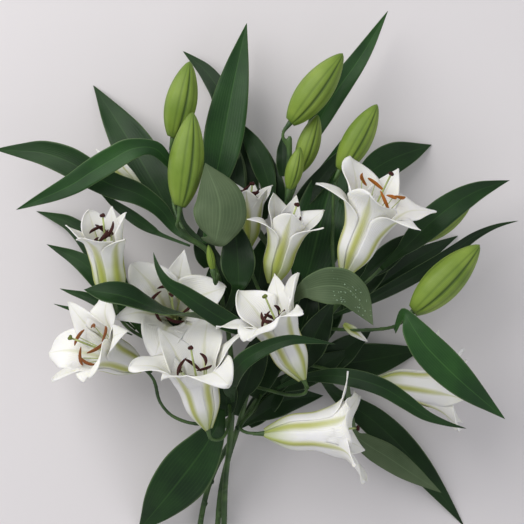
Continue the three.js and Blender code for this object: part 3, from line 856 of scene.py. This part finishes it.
# Six filaments with their anthers, round one style with its three lobed stigma
def growStamens(name, kind):
    foot, axis, ribs = flowers[name]
    share, spread, antherKind, stigmaKind = kind
    dice = random.Random(name + "stamens")
    length = lineLength(ribs[0])
    floor = foot + axis * (length * stamenLook["floor"] + stamenLook["floorRise"])
    reach = length * share
    shares = [step / stamenLook["steps"] for step in range(stamenLook["steps"] + 1)]
    belly = petalLook["belly"]
    bm = bmesh.new()
    ends = []
    for k in range(len(ribs)):
        between = smoothAt(ribs[k], belly) + smoothAt(ribs[k - 1], belly) - foot * 2
        outward = (between - axis * between.dot(axis)).normalized()
        out = stamenLook["spread"] * spread
        height = reach * (1 - stamenLook["shorter"] * (k % 3)) - length * stamenLook["floor"]
        points = [floor + axis * (height * t)
                  + outward * (stamenLook["footRadius"] + out * t ** stamenLook["flare"]) for t in shares]
        thick, taper = stamenLook["filamentTaper"]
        sweep(bm, points, [stamenLook["filament"] * (thick - taper * t) for t in shares], 8)
        ends.append((points[-1], outward))
    ofFilaments, ofPetals = stamenLook["styleReach"]
    styleEnd = min(reach * ofFilaments, length * ofPetals)
    sideways = axis.orthogonal().normalized()
    points = [floor + axis * (styleEnd * t) + sideways * (stamenLook["styleBow"] * t ** 2) for t in shares]
    thick, taper = stamenLook["styleTaper"]
    sweep(bm, points, [stamenLook["style"] * (thick - taper * t) for t in shares], 10)
    paintNew(bm, 0)
    for end, outward in ends:
        addAnther(bm, end, axis, outward, dice.uniform(-stamenLook["swing"], stamenLook["swing"]))
    paintNew(bm, 1)
    for k in range(3):
        angle = k * 2 * math.pi / 3
        lobe = sideways * math.cos(angle) + axis.cross(sideways) * math.sin(angle)
        offset = stamenLook["stigma"] * stamenLook["lobeOffset"]
        addBall(bm, points[-1] + lobe * offset, stamenLook["stigma"])
    paintNew(bm, 2)
    bmesh.ops.recalc_face_normals(bm, faces=bm.faces)
    node = name.replace("flower", "stamens")
    finishPiece(name.replace("flower", "anthers"), bm,
                [filamentSkin, pollens[antherKind], pollens[stigmaKind]],
                [node] if node in cadNodes else [])


for name, kind in stamenKinds.items():
    growStamens(name, kind)
print("stamens grown")


stemLook = {
    "rounding": 2,
    "voxel": 0.0013,
    "smoothing": (0.6, 4),  # strength, and how many times
    "scars": 16,  # places on each main stalk that a leaf was stripped from
    "scarsBelow": -0.15,  # nearer the cut ends than this
    "scar": 0.0030,
    "bareLength": 5,  # stretches longer than this many scar radii may carry one
    # height from the flower's foot along its axis, and radius
    "swelling": ((-0.013, 0.0017), (-0.008, 0.0021), (-0.003, 0.0028),
                 (0.0005, 0.0033), (0.0030, 0.0024)),
    "light": (0.065, 0.13, 0.030),
    "dark": (0.022, 0.058, 0.013),
}


def stemMaterial():
    material, tree, shader = startMaterial("stemSkin", 0.5)
    patches = ramp(tree, mottle(tree, 60.0, 5.0), 0.3, 0.7)
    colour = mixColour(tree, patches, stemLook["light"], stemLook["dark"])
    tree.links.new(colour, shader.inputs["Base Color"])
    addBump(tree, shader, mottle(tree, 420.0), 0.3, 0.0004)
    return material


stemSkin = stemMaterial()


# Scars stand on straight stretches near the cut end, and melt into the stalk as it is remeshed
def growStem(name):
    bm = bmesh.new()
    bm.from_mesh(cadNodes[name].data)
    bmesh.ops.remove_doubles(bm, verts=bm.verts, dist=weldDistance)
    dice = random.Random(name)
    bare = [(edge.verts[0].co.copy(), edge.verts[1].co.copy()) for edge in bm.edges
            if max(vert.co.y for vert in edge.verts) < stemLook["scarsBelow"]
            and edge.calc_length() > stemLook["scar"] * stemLook["bareLength"]]
    for _ in range(stemLook["scars"]):
        low, high = dice.choice(bare)
        seat = low.lerp(high, dice.random())
        seat.z = max(seat.z, stemLook["scar"])
        addBall(bm, seat, stemLook["scar"])
    piece = finishPiece(name.replace("stem", "stalk"), bm, [stemSkin], [name])
    rounded = piece.modifiers.new("rounded", "SUBSURF")
    rounded.levels = stemLook["rounding"]
    rounded.render_levels = stemLook["rounding"]
    even = piece.modifiers.new("even", "REMESH")
    even.mode = "VOXEL"
    even.voxel_size = stemLook["voxel"]
    even.use_smooth_shade = True
    soften = piece.modifiers.new("soften", "SMOOTH")
    soften.factor, soften.iterations = stemLook["smoothing"]


for name in sorted(cadNodes):
    if name.startswith("stem_"):
        growStem(name)

# The swollen end of each stalk, under its bud or flower
bm = bmesh.new()
for foot, axis in feet:
    ends = [foot + axis * height for height, _ in stemLook["swelling"]]
    sweep(bm, ends, [radius for _, radius in stemLook["swelling"]], 16)
bmesh.ops.recalc_face_normals(bm, faces=bm.faces)
finishPiece("stalk_ends", bm, [stemSkin])
print("stems grown")


stageLook = {
    "viewCentre": (0.0070, 0.0721),
    "cameraHeight": 3.2,
    "viewWidth": 0.5764,  # what the frame takes in at viewHeight
    "viewHeight": 0.12,
    "sensor": 36.0,
    "farthest": 50.0,
    "floor": (0.72, 0.69, 0.70),
    "floorHalf": 4.0,
    "floorDrop": 0.0005,
    "lit": (0, 0, 0.05),  # where both lamps point
    "lamps": {  # place, size, power and colour
        "windowLight": ((-1.5, 1.3, 1.9), 2.6, 58, (1.0, 0.99, 0.97)),
        "fillLight": ((1.8, -1.0, 1.6), 2.2, 8, (0.96, 0.98, 1.0)),
    },
    "sky": (0.86, 0.87, 0.90),
    "skyStrength": 0.58,
}


def layFloor():
    bm = bmesh.new()
    bmesh.ops.create_grid(bm, x_segments=1, y_segments=1, size=stageLook["floorHalf"])
    mesh = bpy.data.meshes.new("table")
    bm.to_mesh(mesh)
    bm.free()
    table = bpy.data.objects.new("table", mesh)
    bpy.context.scene.collection.objects.link(table)
    table.location.z = -stageLook["floorDrop"]
    material, _, shader = startMaterial("tableTop", 0.9, specular=0.1)
    shader.inputs["Base Color"].default_value = (*stageLook["floor"], 1.0)
    mesh.materials.append(material)


def hangLamp(name, place, size, power, colour):
    light = bpy.data.lights.new(name, "AREA")
    light.shape = "DISK"
    light.size = size
    light.energy = power
    light.color = colour
    lamp = bpy.data.objects.new(name, light)
    bpy.context.scene.collection.objects.link(lamp)
    lamp.location = place
    beam = Vector(stageLook["lit"]) - Vector(place)
    lamp.rotation_euler = beam.to_track_quat("-Z", "Y").to_euler()


def lightRoom():
    for name, settings in stageLook["lamps"].items():
        hangLamp(name, *settings)
    world = bpy.data.worlds.new("room")
    world.use_nodes = True
    background = world.node_tree.nodes["Background"]
    background.inputs["Color"].default_value = (*stageLook["sky"], 1.0)
    background.inputs["Strength"].default_value = stageLook["skyStrength"]
    bpy.context.scene.world = world


# A camera that looks straight down on the bunch
def placeCamera():
    lens = bpy.data.cameras.new("overhead")
    lens.sensor_width = stageLook["sensor"]
    distance = stageLook["cameraHeight"] - stageLook["viewHeight"]
    lens.lens = lens.sensor_width * distance / stageLook["viewWidth"]
    lens.clip_end = stageLook["farthest"]
    camera = bpy.data.objects.new("overhead", lens)
    bpy.context.scene.collection.objects.link(camera)
    camera.location = (*stageLook["viewCentre"], stageLook["cameraHeight"])
    bpy.context.scene.camera = camera
    bpy.context.scene.view_settings.view_transform = "Standard"


layFloor()
lightRoom()
placeCamera()
print("stage built")
